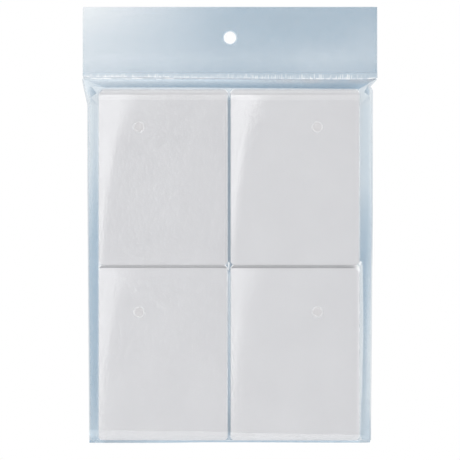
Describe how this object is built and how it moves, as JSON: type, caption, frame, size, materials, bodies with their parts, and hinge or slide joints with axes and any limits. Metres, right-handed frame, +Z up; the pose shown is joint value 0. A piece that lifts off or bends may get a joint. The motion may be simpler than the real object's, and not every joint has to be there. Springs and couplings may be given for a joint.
{
  "type": "hang bag of card sleeves",
  "caption": "Clear film header bag with a hang hole, a ribbed heat seal and an adhesive bottom flap, holding stacks of open-topped card sleeves in a grid.",
  "frame": {"origin": "centre of the hang hole, on the mid-plane between the two plies of the header", "axes": "+Z up along the bag's height, +X to the right as seen from the front, +Y to the back"},
  "size_m": [0.152, 0.0117, 0.2248],
  "materials": {
    "header_film": "clear, glossy, bluish film",
    "bag_film": "clear, glossy, bluish film",
    "welded_film": "pressed, frosted weld",
    "adhesive": "clear, tacky",
    "sleeve_film": "milky, orange-peel film"
  },
  "bodies": {
    "header": {"header_front_ply": "header_film", "header_back_ply": "header_film", "header_seal": "welded_film"},
    "pouch": {"front_panel": "bag_film", "back_panel": "bag_film", "left_side_weld": "welded_film", "right_side_weld": "welded_film"},
    "flap": {"bottom_flap": "bag_film", "flap_adhesive_strip": "adhesive"},
    "contents": {"front_sleeve_upper_left": "sleeve_film", "sleeve_bundle_upper_left_1": "sleeve_film", "sleeve_bundle_upper_left_2": "sleeve_film", "sleeve_bundle_upper_left_3": "sleeve_film", "sleeve_bundle_upper_left_4": "sleeve_film", "sleeve_bundle_upper_left_5": "sleeve_film", "sleeve_bundle_upper_left_6": "sleeve_film", "sleeve_bundle_upper_left_7": "sleeve_film", "front_sleeve_upper_right": "sleeve_film", "sleeve_bundle_upper_right_1": "sleeve_film", "sleeve_bundle_upper_right_2": "sleeve_film", "sleeve_bundle_upper_right_3": "sleeve_film", "sleeve_bundle_upper_right_4": "sleeve_film", "sleeve_bundle_upper_right_5": "sleeve_film", "sleeve_bundle_upper_right_6": "sleeve_film", "sleeve_bundle_upper_right_7": "sleeve_film", "front_sleeve_lower_left": "sleeve_film", "sleeve_bundle_lower_left_1": "sleeve_film", "sleeve_bundle_lower_left_2": "sleeve_film", "sleeve_bundle_lower_left_3": "sleeve_film", "sleeve_bundle_lower_left_4": "sleeve_film", "sleeve_bundle_lower_left_5": "sleeve_film", "sleeve_bundle_lower_left_6": "sleeve_film", "sleeve_bundle_lower_left_7": "sleeve_film", "front_sleeve_lower_right": "sleeve_film", "sleeve_bundle_lower_right_1": "sleeve_film", "sleeve_bundle_lower_right_2": "sleeve_film", "sleeve_bundle_lower_right_3": "sleeve_film", "sleeve_bundle_lower_right_4": "sleeve_film", "sleeve_bundle_lower_right_5": "sleeve_film", "sleeve_bundle_lower_right_6": "sleeve_film", "sleeve_bundle_lower_right_7": "sleeve_film"}
  },
  "joints": [
    {"name": "header_fold", "type": "hinge", "parent": "header", "child": "pouch", "pos_m": [0, 0, -0.0212], "axis": [1, 0, 0], "range_deg": [-90, 90]},
    {"name": "flap_open", "type": "hinge", "parent": "pouch", "child": "flap", "pos_m": [0, 0.00547, -0.2079], "axis": [1, 0, 0], "range_deg": [0, 180]},
    {"name": "contents_slide", "type": "slide", "parent": "pouch", "child": "contents", "axis": [0, 0, -1], "range_m": [0, 0.19], "deforming": ["bottom_flap", "flap_adhesive_strip"]}
  ]
}
